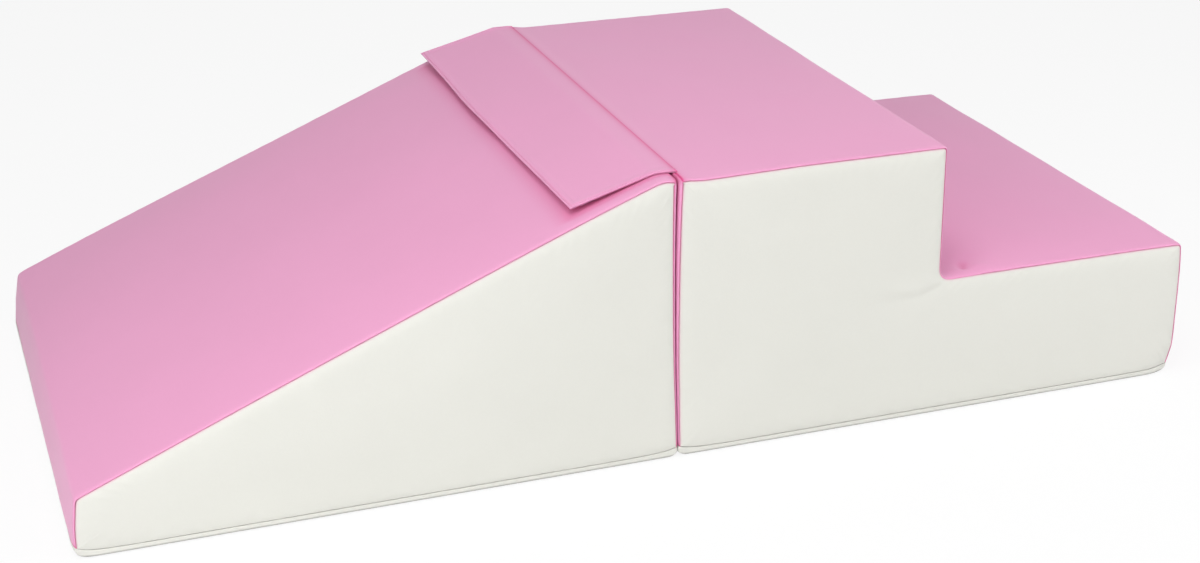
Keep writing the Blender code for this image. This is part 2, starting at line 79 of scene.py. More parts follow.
# Floor and light
# A plain pale floor under a broad lamp overhead, another at each front corner, a long one behind
# and a soft sky. The camera and reflections see a floor that is mostly white, with the shadow.
class Wire:
    """A socket that can be worked with in plain arithmetic: each operation adds its Math node."""

    def __init__(self, tree, socket):
        self.tree, self.socket = tree, socket

    def worked(self, operation, *values):
        node = self.tree.nodes.new("ShaderNodeMath")
        node.operation = operation
        for socket, value in zip(node.inputs, values):
            if isinstance(value, Wire):
                self.tree.links.new(value.socket, socket)
            else:
                socket.default_value = value
        return Wire(self.tree, node.outputs[0])

    def __add__(self, other):
        return self.worked("ADD", self, other)

    def __mul__(self, other):
        return self.worked("MULTIPLY", self, other)

    def __sub__(self, other):
        return self.worked("SUBTRACT", self, other)

    def __rsub__(self, other):
        return self.worked("SUBTRACT", other, self)

    __radd__, __rmul__ = __add__, __mul__

    def least(self, other):
        return self.worked("MINIMUM", self, other)

    def sine(self):
        return self.worked("SINE", self)


class Nodes:
    """A node tree, and the one way to add a node to it or to set one."""

    def __init__(self, tree):
        self.tree = tree

    def set(self, node, sockets):
        for name, value in sockets.items():
            if isinstance(value, Wire):
                self.tree.links.new(value.socket, node.inputs[name])
            else:
                node.inputs[name].default_value = value

    def add(self, kind, settings=(), sockets=(), output=0):
        node = self.tree.nodes.new("ShaderNode" + kind)
        for name, value in dict(settings).items():
            setattr(node, name, value)
        self.set(node, dict(sockets))
        return Wire(self.tree, node.outputs[output])

    def noise(self, where, scale, detail, rough=0.5):
        sockets = {"Vector": where, "Scale": scale, "Detail": detail, "Roughness": rough}
        return self.add("TexNoise", sockets=sockets)

    def bump(self, strength, distance, height):
        return self.add("Bump", (), {"Strength": strength, "Distance": distance, "Height": height})

    def mixed(self, share, low, high):
        """The low colour where share is nothing, and the high one where it is one."""
        settings = {"data_type": "RGBA", "clamp_factor": True}
        return self.add("Mix", settings, {0: share, 6: low, 7: high}, 2)


def new_finish(name):
    """A new material, its nodes and its shader."""
    material = bpy.data.materials.new(name)
    material.use_nodes = True
    return material, Nodes(material.node_tree), material.node_tree.nodes["Principled BSDF"]


def whitened(nodes, lit, kind, share, output):
    """A share of plain white where the camera looks straight, or by a reflection or through glass.
    For light the lit shader stays as it is."""
    rays = [nodes.add("LightPath", output=name) for name in
            ("Is Camera Ray", "Is Glossy Ray", "Is Transmission Ray")]
    seen = (rays[0] + rays[1] + rays[2]).least(1)
    plain = nodes.add(kind, sockets={"Color": (1, 1, 1, 1), "Strength": 1.0})
    mix = {0: seen * share, 1: Wire(nodes.tree, lit.outputs[0]), 2: plain}
    nodes.set(nodes.tree.nodes[output], {"Surface": nodes.add("MixShader", sockets=mix)})


def floor_finish():
    """Matt pale floor, shown at most of the strength of plain white."""
    material, nodes, matt = new_finish("pale_floor")
    nodes.set(matt, {"Base Color": (0.9, 0.9, 0.9, 1), "Roughness": 0.9, "Specular IOR Level": 0.1})
    whitened(nodes, matt, "Emission", 0.88, "Material Output")
    return material


mesh = bpy.data.meshes.new("floor")
wide, level = 8, -0.0004
corners = [(-wide, -wide, level), (wide, -wide, level), (wide, wide, level), (-wide, wide, level)]
mesh.from_pydata(corners, [], [(0, 1, 2, 3)])
mesh.materials.append(floor_finish())
floor = placed("floor", mesh)

sky = bpy.data.worlds.new("sky")
sky.use_nodes = True
bpy.context.scene.world = sky
nodes = Nodes(sky.node_tree)
soft = sky.node_tree.nodes["Background"]
nodes.set(soft, {"Color": (0.97, 0.98, 1.0, 1), "Strength": 0.12})
whitened(nodes, soft, "Background", 1, "World Output")

for name, place, wide, high, power in (
    ("top", (-0.5, -0.9, 2.6), 1.8, 1.8, 32),
    ("left", (-1.25, -1.15, 0.9), 1.5, 1.5, 17),
    ("right", (1.3, -1.1, 1.0), 1.5, 1.5, 15),
    ("behind", (0.3, 2.0, 3.2), 3.0, 1.0, 12),
):
    lamp = bpy.data.lights.new(name, "AREA")
    lamp.shape, lamp.energy, lamp.size, lamp.size_y = "RECTANGLE", power, wide, high
    item = placed(name, lamp)
    aim = (Vector(place) - Vector((0, 0, 0.1))).to_track_quat("Z", "Y")
    item.matrix_world = Matrix.Translation(place) @ aim.to_matrix().to_4x4()


# Ramp foam
# A wedge of firm open-cell foam, cut from one slab. It is never seen, but it carries the cover, so
# the cover's own form is worked out here: a rounded outline, swollen in the middle of each face.
def unit(value):
    """The value, held between nothing and one."""
    return np.clip(value, 0, 1)


def bell(distance, width):
    """A bell curve: exp(-(distance / width) squared)."""
    return np.exp(-(distance / width) ** 2)


def relaxed(line, times=2):
    """Each point moves half way to the middle of its two neighbours round a closed line, in turns."""
    for _ in range(times):
        line = line / 2 + (np.roll(line, 1, axis=0) + np.roll(line, -1, axis=0)) / 4
    return line


def outline(corners, edges):
    """A closed line in the XZ plane, walked anticlockwise, with round corners.

    An arc of a corner's radius touches both its sides: centre plus radius times the outward normal,
    turned step by step. An edge runs straight between arcs. Its swelling is one less the fourth
    power of the distance from its middle. A corner is (x, z, radius, samples), and an edge is
    (crown, bow, samples): the crown fades towards the sides and the bow doesn't.
    """
    table = np.array(corners, float)
    at, radius = table[:, :2], table[:, 2]
    ahead = np.roll(at, -1, axis=0) - at
    ahead /= np.linalg.norm(ahead, axis=1)[:, None]
    behind = np.roll(ahead, 1, axis=0)
    turns = np.arctan2(behind[:, 0] * ahead[:, 1] - behind[:, 1] * ahead[:, 0], (behind * ahead).sum(1))
    reach = radius * np.tan(abs(turns) / 2)
    out = np.column_stack([behind[:, 1], -behind[:, 0]])
    place, normal, crown, starts = [], [], [], []
    for i, (edge_crown, bow, parts) in enumerate(edges):
        side = 1 if turns[i] >= 0 else -1
        centre = at[i] - behind[i] * reach[i] - side * radius[i] * out[i]
        angle = turns[i] * (np.linspace(0, 1, corners[i][3]) if corners[i][3] > 1 else np.array([0.5]))
        facing = np.column_stack([
            np.cos(angle) * out[i, 0] - np.sin(angle) * out[i, 1],
            np.sin(angle) * out[i, 0] + np.cos(angle) * out[i, 1]])
        starts.append(sum(len(run) for run in place))
        place.append(centre + side * radius[i] * facing)
        normal.append(facing)
        crown.append(np.zeros(len(angle)))
        after = (i + 1) % len(corners)
        first, last = at[i] + ahead[i] * reach[i], at[after] - ahead[i] * reach[after]
        share = np.arange(1, parts)[:, None] / parts
        swell = 1 - abs(2 * share - 1) ** 4
        facing = out[[after]]
        place.append(first + (last - first) * share + facing * bow * swell)
        normal.append(np.repeat(facing, parts - 1, axis=0))
        crown.append(edge_crown * swell[:, 0])
    return np.vstack(place), np.vstack(normal), np.concatenate(crown), starts


class Form:
    """A stuffed block. Every panel of its cover, and its foam, is cut from this one form."""

    half, tall, seam_depth, band, reach = 0.3, 0.3, 0.0024, 0.0105, 0.028
    lean, sag, taller, ridge = 0.005, 0.0024, 0.0022, 0.0025
    foot, belly, rounding, corner = 0.0002, 0.0028, 0.004, 0.025

    def __init__(self, shift, corners, edges, heart, middle, joint, settle):
        self.place, self.normal, self.crown, self.starts = outline(corners, edges)
        self.place = self.place + (shift, 0)
        bare = [(0, 0, parts) for _, _, parts in edges]
        inner = [(x, z, 0.002, corner[3]) for (x, z), corner in zip(heart, corners)]
        self.heart = relaxed(outline(inner, bare)[0], 60) + (shift, 0)
        self.middle = np.array(middle) + (shift, 0)
        steps = np.linalg.norm(np.diff(self.place, axis=0, append=self.place[:1]), axis=1)
        self.run = np.concatenate([[0], np.cumsum(steps)[:-1]])
        self.joint, self.settle = joint, settle
        facing = bell(self.place[:, 0] - joint, 0.004)
        deep = 0.0015 + 0.003 * unit(self.place[:, 1] / self.tall)
        self.draw = self.seam_depth * (1 - facing) + deep * facing

    def settled(self, points, cover=True):
        """A block is never quite square.

        Its end spreads by the settle amounts, (all, far side more than near side), in proportion to
        the distance from the joint. Beside the joint it bulges over the floor, by foot times the
        square of what is left of its height. There the step block's end bellies into the ramp's,
        which gives way, by belly times a sine that is full from the middle of the height on, times
        one less the sixth power of the height. The ramp's slope sags along its far side, and its
        toe leans out at the near end. The steps stand taller along the near side, and rise in a
        ridge along the flap's seam. Each outer corner is drawn in over the floor, by rounding both
        ways. The base panel has no part in the sag, the lean, the taller side and the ridge.
        """
        points = np.array(points)
        x, y, z = points[..., 0], points[..., 1], points[..., 2]
        away, nearer = x - self.joint, unit(0.5 - y / (2 * self.half))
        if self.settle[2] < 0 and cover:
            front, low = unit((-away - 0.5) / 0.11) ** 2, unit(1 - z / 0.065)
            points[..., 0] = x = x - front * self.lean * nearer ** 2 * (1 - low)
            sag = self.sag * unit(y / self.half) ** 2 * unit(z / 0.2)
            points[..., 2] = z - sag * unit(1 - abs(-2 * away / 0.61 - 1) ** 4)
        elif cover:
            raised = self.taller * nearer * unit((away - 0.03) / 0.1)
            raised = raised + self.ridge * bell(away, 0.013)
            points[..., 2] = z + raised * unit(z / self.tall)
        span = 0.61 if self.settle[2] < 0 else 0.587
        by_end = unit((abs(away) - span + self.corner) / self.corner) ** 2
        by_side = unit((abs(y) - self.half + self.corner) / self.corner) ** 2
        inward = self.rounding * (by_end * unit(1 - z / 0.035)) * by_side
        points[..., 1] = y - np.sign(y) * inward
        x = x - np.sign(away) * inward
        level = unit(z / self.tall)
        foot = self.foot * (1 - level) ** 2 * np.exp(-abs(away) / 0.03)
        belly = self.belly * np.sin(math.pi * np.minimum(level, 0.5)) ** 1.2
        belly = belly * (1 - level ** 6) * np.exp(-abs(away) / 0.04)
        spread = (self.settle[0] + self.settle[1] * y / self.half) * away / 0.6
        points[..., 0] = x + spread - np.sign(self.settle[2]) * foot - belly
        return points

    def skin(self, y, depth, extra=0.0):
        """Points on the form for each outline sample and each column: place less depth along the
        normal, plus the crown times one less the fourth power of y's share of the half width."""
        fade = 1 - abs(np.asarray(y) / self.half) ** 4
        lift = self.crown[:, None] * fade - depth * (self.draw / self.seam_depth)[:, None] + extra
        flat = self.place[:, None] + self.normal[:, None] * lift[..., None]
        flat = relaxed(flat)
        across = np.broadcast_to(y, flat.shape[:2])
        return np.stack([flat[..., 0], across, flat[..., 1]], axis=-1)

    def base_line(self, x):
        """How high the base panel reaches: 7 mm along a side, and 5.2 mm more at its corners, less
        by exp(-distance from the corner / 15 mm)."""
        low, high = self.place[:, 0].min(), self.place[:, 0].max()
        return 0.007 + 0.0052 * (np.exp(-(x - low) / 0.015) + np.exp(-(high - x) / 0.015))

    def seam(self):
        """The line where a side panel is sewn on, kept above the base panel's band."""
        line = relaxed(self.place - self.normal * self.draw[:, None], 4)
        return np.column_stack([line[:, 0], np.maximum(line[:, 1], self.base_line(line[:, 0]) + 0.0002)])


def span_to(points, line):
    """A rounded distance from each point to a closed line, with no crease where two sides are
    equally near. Each segment pulls on the point with one over the fourth power of the distance,
    added up along it: (arctan q + q / (1 + q squared)) / (2 h cubed) between its ends, where h is
    the distance to the segment's own line and q the way along it over h. The distance is the cube
    root of half pi over the sum, which is the plain distance beside one long straight side.
    """
    step = np.roll(line, -1, axis=0) - line
    length = np.linalg.norm(step, axis=1)
    start, step, length = line[length > 1e-6], step[length > 1e-6], length[length > 1e-6]
    ahead = step / length[:, None]
    flat = points.reshape(-1, 2)
    pull = np.empty(len(flat))
    for chunk in np.array_split(np.arange(len(flat)), max(1, len(flat) // 4000)):
        away = flat[chunk, None] - start
        h = np.maximum(abs(away[..., 0] * ahead[:, 1] - away[..., 1] * ahead[:, 0]), 1e-5)
        near = -(away * ahead).sum(-1) / h
        far = near + length / h
        pull[chunk] = ((np.arctan(far) + far / (1 + far ** 2) - np.arctan(near) - near / (1 + near ** 2))
                       / (2 * h ** 3)).sum(1)
    return np.cbrt(math.pi / 2 / pull).reshape(points.shape[:-1])


def surface(name, points, inside, closed=False, poles=(False, False), seam=None):
    """A mesh from a grid of points: one face for each cell, and a fan to the middle of an end ring where
    there is a pole. The faces are turned to look away from the point inside. The seam value of each
    point, high at a seam and where shade is painted and nothing elsewhere, is kept for the cloth's
    finish, which paints that shade into its colour."""
    rows, count = points.shape[:2]
    index = np.arange(rows * count).reshape(rows, count)
    here = index if closed else index[:, :-1]
    ahead = np.roll(index, -1, axis=1) if closed else index[:, 1:]
    quads = np.stack([here[:-1], ahead[:-1], ahead[1:], here[1:]], axis=-1).reshape(-1, 4)
    place = points.reshape(-1, 3)
    loops, sizes = [quads.ravel()], [np.full(len(quads), 4)]
    for end, pole in zip((0, -1), poles):
        if pole is not False:
            tip = np.full(here.shape[1], len(place))
            place = np.vstack([place, points[end].mean(axis=0) if pole is True else pole])
            order = (ahead[end], here[end], tip) if end == 0 else (here[end], ahead[end], tip)
            loops.append(np.stack(order, axis=-1).ravel())
            sizes.append(np.full(len(tip), 3))
    corner = place[quads]
    facing = np.cross(corner[:, 2] - corner[:, 0], corner[:, 3] - corner[:, 1])
    turned = (facing * (corner.mean(axis=1) - inside)).sum() < 0
    loops, sizes = np.concatenate(loops), np.concatenate(sizes)
    if turned:
        loops = np.concatenate([part[:, ::-1].ravel() for part in (
            loops[:len(quads) * 4].reshape(-1, 4), loops[len(quads) * 4:].reshape(-1, 3))])
    made = bpy.data.meshes.new(name)
    made.vertices.add(len(place))
    made.vertices.foreach_set("co", place.astype(np.float32).ravel())
    made.loops.add(len(loops))
    made.loops.foreach_set("vertex_index", loops.astype(np.int32))
    made.polygons.add(len(sizes))
    made.polygons.foreach_set("loop_start", np.concatenate([[0], np.cumsum(sizes)[:-1]]).astype(np.int32))
    made.update(calc_edges=True)
    made.shade_smooth()
    # The seam attribute holds seam values and painted shade: where it is high the cloth's colour is
    # painted darker.
    if seam is not None:
        near = np.zeros(len(place), np.float32)
        near[:rows * count] = np.broadcast_to(seam, (rows, count)).ravel()
        made.attributes.new("seam", "FLOAT", "POINT").data.foreach_set("value", near)
    return placed(name, made)


def fitted(item, finish, body, *nodes):
    """A finished piece rides on its body and stands for its solids, which are hidden."""
    item.data.materials.append(finish)
    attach(item, body)
    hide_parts(*nodes)
    return item


def covered(item, finish, body, node):
    """A cover panel, padded by the foam under it and by its own swelling."""
    fitted(item, finish, body, node)


def foam_finish():
    """Pale grey open-cell foam: fine round cells, matt."""
    material, nodes, shader = new_finish("open_cell_foam")
    where = nodes.add("TexCoord", output="Object")
    cells = nodes.add("TexVoronoi", sockets={"Vector": where, "Scale": 900.0})
    patch = nodes.noise(where, 14.0, 3.0)
    tint = nodes.mixed(patch * 0.6 + cells * 0.4, (0.5, 0.5, 0.48, 1), (0.7, 0.7, 0.68, 1))
    bump = nodes.bump(0.6, 0.0004, cells)
    nodes.set(shader, {"Base Color": tint, "Roughness": 0.95, "Specular IOR Level": 0.15, "Normal": bump})
    return material


def foam_block(name, form):
    """The form sunk by one cover, closed by sides that swell towards their middles."""
    keep, wide = slice(None, None, 3), 0.296
    y = np.array([0.05, 0.14, 0.22, 0.265, 0.288, 0.294, wide])
    y = np.concatenate([-y[::-1], y])
    draw = np.interp(abs(y), (0.29, wide), (0, 0.0008))
    wrap = form.skin(y, 0.0042 + draw)[keep].transpose(1, 0, 2)
    sides = []
    for side in (-1, 1):
        rings = []
        for share in (0.1, 0.2, 0.4, 0.7, 1):
            flat = form.seam()[keep] + (form.heart[keep] - form.seam()[keep]) * share
            across = np.full(len(flat), side * (wide + 0.005 * (1 - (1 - share) ** 3)))
            rings.append(np.column_stack([flat[:, 0], across, flat[:, 1]]))
        sides.append(np.array(rings if side > 0 else rings[::-1]))
    rings = form.settled(np.concatenate([sides[0], wrap, sides[1]]))
    tips = [(form.middle[0], rings[end, 0, 1], form.middle[1]) for end in (0, -1)]
    return surface(name, rings, (form.middle[0], 0, form.middle[1]), closed=True, poles=tips)


def ramp_form():
    """The ramp from its back at x = 0: a base, an upright back, a short level crest, a slope and a
    blunt toe."""
    toe, high, blunt, level = -0.61, 0.314, 0.065, 0.30703
    rise = math.atan2(high - blunt, 0.6)
    front = (level - high) / math.tan(rise)
    corners = [(toe, 0, 0.01, 5), (0.0022, 0, 0.01, 5), (0.0022, Form.band, 0, 1),
               (0.0012, level, 0.0025, 8), (front, level, 0.03, 6), (-0.6, blunt, 0.009, 7),
               (toe, Form.band, 0, 1)]
    edges = [(0, 0, 120), (0, 0, 1), (0, 0.0005, 84), (0, 0, 4), (0.004, 0.003, 190), (0.002, 0, 12),
             (0, 0, 1)]
    low, slant = Form.band + Form.reach, Form.reach / math.cos(rise)
    nose = (low + slant - high) / math.tan(rise) + Form.reach
    back = -Form.reach
    crest = high + math.tan(rise) * back - slant
    heart = [(nose, low), (back, low), (back, low + 0.003), (back, crest),
             (back - 0.008, crest - 0.008 * math.tan(rise)),
             (nose, high + math.tan(rise) * nose - slant), (nose, low + 0.003)]
    return Form(0.003, corners, edges, heart, (-0.19, 0.095), 0.003, (0.0026, 0.0036, -1))


ramp = ramp_form()
foam = foam_finish()
ramp_foam = fitted(foam_block("ramp_foam_block", ramp), foam, "ramp", "ramp_foam")


# Ramp deck cover
# Pink coated cloth over the slope and the toe, drawn tight over the foam. Its long edges turn over
# the corners and are sewn to the white sides, which leaves a thin drawn-in line along each seam.
def coated_cloth(name, colour, deep, seam_shade_colour, rough=0.38):
    """Satin coated cloth: a fine pebbled grain in its relief, faint clouds in the colour, and a darker
    tone, the third colour, where the seam attribute is high: painted shade where the cloth is drawn into
    a seam, in dents, where it lies covered and beside the floor, and on white a painted pink glow of
    light bounced off the pink cloth."""
    material, nodes, shader = new_finish(name)
    where = nodes.add("TexCoord", output="Object")
    cloud = nodes.noise(where, 5.0, 3.0, 0.6)
    grain = nodes.noise(where, 420.0, 4.0, 0.7)
    pebble = nodes.add("TexVoronoi", {"feature": "SMOOTH_F1"}, {"Vector": where, "Scale": 620.0})
    tone = (cloud - 0.5) * 0.55 + (grain - 0.5) * 0.3 + 0.72
    seam_and_shade = nodes.add("Attribute", {"attribute_name": "seam"}, output="Fac")
    # Towards the third colour where the seam attribute is high: painted shade, and on white a painted
    # pink glow.
    tint = nodes.mixed(seam_and_shade, nodes.mixed(tone, deep, colour), seam_shade_colour)
    relief = pebble * 0.6 + grain * 0.8
    bump = nodes.bump(0.3, 0.00022, relief)
    nodes.set(shader, {
        "Base Color": tint, "Roughness": (cloud - 0.5) * 0.16 + (grain - 0.5) * 0.1 + seam_and_shade * 0.2 + rough,
        "Specular IOR Level": 0.12, "Normal": bump})
    return material


def waves(seed, u, v, short, long):
    """Unevenness from minus one to one: seven waves of random direction, length and start, added."""
    pick = np.random.default_rng(seed)
    total = 0
    for _ in range(7):
        angle, length, start = pick.uniform(0, math.pi), pick.uniform(short, long), pick.uniform(0, 9)
        total = total + np.sin(math.tau * (u * math.cos(angle) + v * math.sin(angle)) / length + start)
    return total / 3.5


def cloth_columns(step=0.0045):
    """Across the width: even columns, then a roll over the edge, then a hem turned into the seam.

    The roll is a quarter ellipse, 7 mm wide and 1.6 mm deep. The hem is a smaller one, turning in.
    Gives each column's y, its depth below the face, and its seam value, which paints shade where the hem
    turns into the seam.
    """
    roll, drop, inset, hem_wide, hem_deep = 0.007, 0.0016, 0.0004, 0.0016, 0.0009
    flat = np.linspace(0, Form.half - roll, round((Form.half - roll) / step))
    over = np.radians(np.linspace(0, 90, 9))[1:]
    hem = np.radians(np.linspace(0, 90, 5))[1:]
    inward = inset + np.concatenate([0.0066 * (1 - np.sin(over)), hem_wide * (1 - np.cos(hem))])
    depth = np.concatenate([drop * (1 - np.cos(over)), drop + hem_deep * np.sin(hem)])
    y = np.concatenate([flat, Form.half - inward])
    depth = np.concatenate([np.zeros(len(flat)), depth])
    y, depth = np.concatenate([-y[:0:-1], y]), np.concatenate([depth[:0:-1], depth])
    return y, depth, 0.7 * unit((depth - 0.0015) / 0.0008)


def strip(name, form, first, last, seed, dents=(), shade_zone=None, pulls=(0.0006, 0.0006), step=0.0045):
    """A panel that runs across the block, from one outline sample to another.

    It is the form's skin, plus slow waves, plus small puckers that fade away from each side seam, plus
    any dents: heights times exp(-(distance / size) squared), darker in tone where they are deep, as
    painted shade in their creases. Both ends are pulled in and tucked under, with painted seam shade at
    each end. Past a given zone, (x where it starts, x where it is full, strength, margin at the sides),
    the tone is painted deeper as painted shade where the cloth lies under the flap or in the gap between
    the blocks, most so by the sides: times 1 + 0.8 exp(-distance / 20 mm).
    """
    y, depth, seam_and_shade = cloth_columns(step)
    run = form.run[:, None]
    edge = np.clip(Form.half - abs(y), 0, None)
    slack = 1 - bell(edge, 0.03)
    extra = 0.00035 * waves(seed, run, y, 0.07, 0.21) * slack
    extra *= 1 - 0.6 * bell(form.place[:, :1] - form.joint, 0.006)
    pucker = np.sin(run * math.tau / 0.017 + 2.1 * np.sin(run * math.tau / 0.061 + np.sign(y)))
    extra = extra + 0.00016 * pucker * bell(edge - 0.004, 0.006)
    skin = form.skin(y, depth, extra)
    push = np.zeros(skin.shape[:2])
    for x, across, z, size, height in dents:
        push += np.exp(-((skin - (x, across, z)) ** 2).sum(-1) / size ** 2) * height
    skin[..., ::2] += form.normal[:, None] * push[..., None]
    rows = np.arange(first, last + 1)
    part, facing = skin[rows], form.normal[rows]
    along = np.diff(form.run[rows], prepend=form.run[rows[0]]).cumsum()
    from_end = along[-1] - along
    pull = pulls[0] * np.exp(-along / 0.0022) + pulls[1] * np.exp(-from_end / 0.0022)
    part[..., ::2] -= (facing * pull[:, None])[:, None]
    ends = []
    for end, beside in ((0, 1), (-1, -2)):
        back = part[end] - part[beside]
        back /= np.linalg.norm(back, axis=-1)[:, None]
        down = np.array([facing[end][0], 0, facing[end][1]])
        ends.append([part[end] + back * out - down * under
                     for out, under in ((0.00012, 0.0005), (0.00005, 0.0016))])
    part = np.concatenate([ends[0][::-1], part, ends[1]])
    # Seam values: painted shade at both sewn ends, and in the deep part of each dent.
    cross = np.exp(-np.minimum(along, from_end) / 0.0024)
    cross = np.concatenate([[1, 1], cross, [1, 1]])[:, None]
    dent_shade = np.pad(unit((-push[rows] - 0.0013) / 0.006), ((2, 2), (0, 0)))
    part, seam_and_shade = form.settled(part), np.maximum(np.maximum(cross, seam_and_shade), dent_shade)
    # Painted shade past the zone: the tone deepens where the cloth lies under the flap or in the gap
    # between the blocks.
    if shade_zone:
        covered_shade = unit((part[..., 0] - shade_zone[0]) / (shade_zone[1] - shade_zone[0])) ** 2 * shade_zone[2]
        covered_shade = covered_shade * (1 + 0.8 * np.exp(-edge / 0.02))
        seam_and_shade = np.maximum(seam_and_shade, covered_shade * unit((edge - shade_zone[3]) / 0.007))
    return surface(name, part, (form.middle[0], 0, form.middle[1]), seam=seam_and_shade)


# Its third colour is pink deep in shade, a dark maroon: painted shade where the seam attribute is high.
pink = coated_cloth(
    "pink_coated_cloth", (0.828, 0.38, 0.597, 1), (0.735, 0.317, 0.515, 1), (0.68, 0.07, 0.24, 1))
crest = ramp.starts[3] + 4
# The deck is painted deeper under the flap and for a little way past its free edge: painted shadow of the
# flap.
deck = strip("ramp_deck", ramp, crest, ramp.starts[6], 11, shade_zone=(-0.124, -0.104, 0.3, 0.011))
covered(deck, pink, "ramp", "ramp_deck_cover")

# Ramp back cover
# The same pink cloth on the upright end that stands against the step block. It meets the deck in a
# sewn line at the middle of the crest, and the base panel above the floor.
# The whole back is painted deeper: painted shade in the gap between the blocks.
back = strip("ramp_back", ramp, ramp.starts[2], crest, 12, shade_zone=(-0.1, 0, 0.4, 0.003))
covered(back, pink, "ramp", "ramp_back_cover")


# Ramp sides
# White coated cloth, cut to the wedge's side view. The foam swells each one a little, and its edge
# turns under the pink cloth at the seam.
def side_panel(name, form, side, seed, folds=()):
    """A side of a block, in rings from its seam to its middle.

    First comes the hem, a quarter ellipse that turns out of the seam, shallower along the base
    panel, where it is white on white. Then come rings between the seam and the panel's heart, and
    from there to one middle point. The swelling follows the rounded distance from the seam: one
    less the cube of what is left of the first 16 mm, and one less the square of what is left of
    the first 130 mm. Folds are ridges: their height times a bell curve, fading towards both ends.
    """
    turn = np.radians([0, 25, 50, 68, 80])
    seam = form.seam()
    inward, deeper = 0.0018 * (1 - np.sin(turn)), 0.0001 + 0.0006 * (1 - np.cos(turn))
    flat = [seam - form.normal * extra for extra in deeper]
    edge = flat[-1]
    shallow = np.where(seam[:, 1] < 0.013, 0.35, 1)
    out = [-amount * shallow for amount in inward]
    shares = (np.arange(1, 15) / 14) ** 1.35
    body = [edge + (form.heart - edge) * share for share in shares]
    body += [form.heart + (form.middle - form.heart) * share for share in np.arange(1, 34) / 34]
    body = np.array(body)
    from_seam = span_to(body, edge)
    shoulder, dome = 0.0019, 0.0036
    swell = shoulder * (1 - (1 - unit(from_seam / 0.016)) ** 3)
    swell += dome * (1 - (1 - unit(from_seam / 0.13)) ** 2)
    x, z = body[..., 0], body[..., 1]
    swell += 0.00045 * waves(seed, x, z, 0.08, 0.26) * (1 - bell(from_seam, 0.03))
    pucker = np.sin(form.run * math.tau / 0.019 + 2.0 * np.sin(form.run * math.tau / 0.071 + seed))
    swell += 0.00022 * pucker * bell(from_seam - 0.006, 0.008)
    for (ax, az), (bx, bz), width, height in folds:
        step = np.array([bx - ax, bz - az])
        share = ((x - ax) * step[0] + (z - az) * step[1]) / (step ** 2).sum()
        off = ((x - ax) * step[1] - (z - az) * step[0]) / np.linalg.norm(step)
        fade = unit(share + 0.15) ** 0.6 * unit(1.25 - share) ** 1.2
        swell += height * bell(off, width * (0.6 + 0.9 * unit(share))) * fade
    flat = np.concatenate([np.array(flat), body])
    swell = np.concatenate([np.array(out), swell])
    points = form.settled(np.stack([flat[..., 0], side * (Form.half + swell), flat[..., 1]], axis=-1))
    tip = (form.middle[0], points[-1, :, 1].mean(), form.middle[1])
    # Seam values: painted shade along the seam, faint along the base panel. On white they paint a pink
    # glow, standing in for light bounced off the pink cloth.
    seam_and_shade = np.concatenate([np.ones((len(turn) - 1, len(seam))), np.full((1, len(seam)), 0.6),
                           0.6 * np.exp(-from_seam / 0.0008)]) * np.where(shallow < 1, 0.05, 1)
    return surface(name, points, (form.middle[0], 0, form.middle[1]), True, (False, tip), seam_and_shade)


white_tones = (0.758, 0.755, 0.705, 1), (0.68, 0.677, 0.626, 1)
# The white cloth's third colour is pink: a painted reflection of light bounced off the pink panels into
# its seams.
white = coated_cloth("white_coated_cloth", *white_tones, (0.7, 0.48, 0.54, 1), 0.4)
for label, side, seed in (("near", -1, 21), ("far", 1, 22)):
    panel = side_panel(f"ramp_side_panel_{label}", ramp, side, seed)
    covered(panel, white, "ramp", f"ramp_side_{label}")


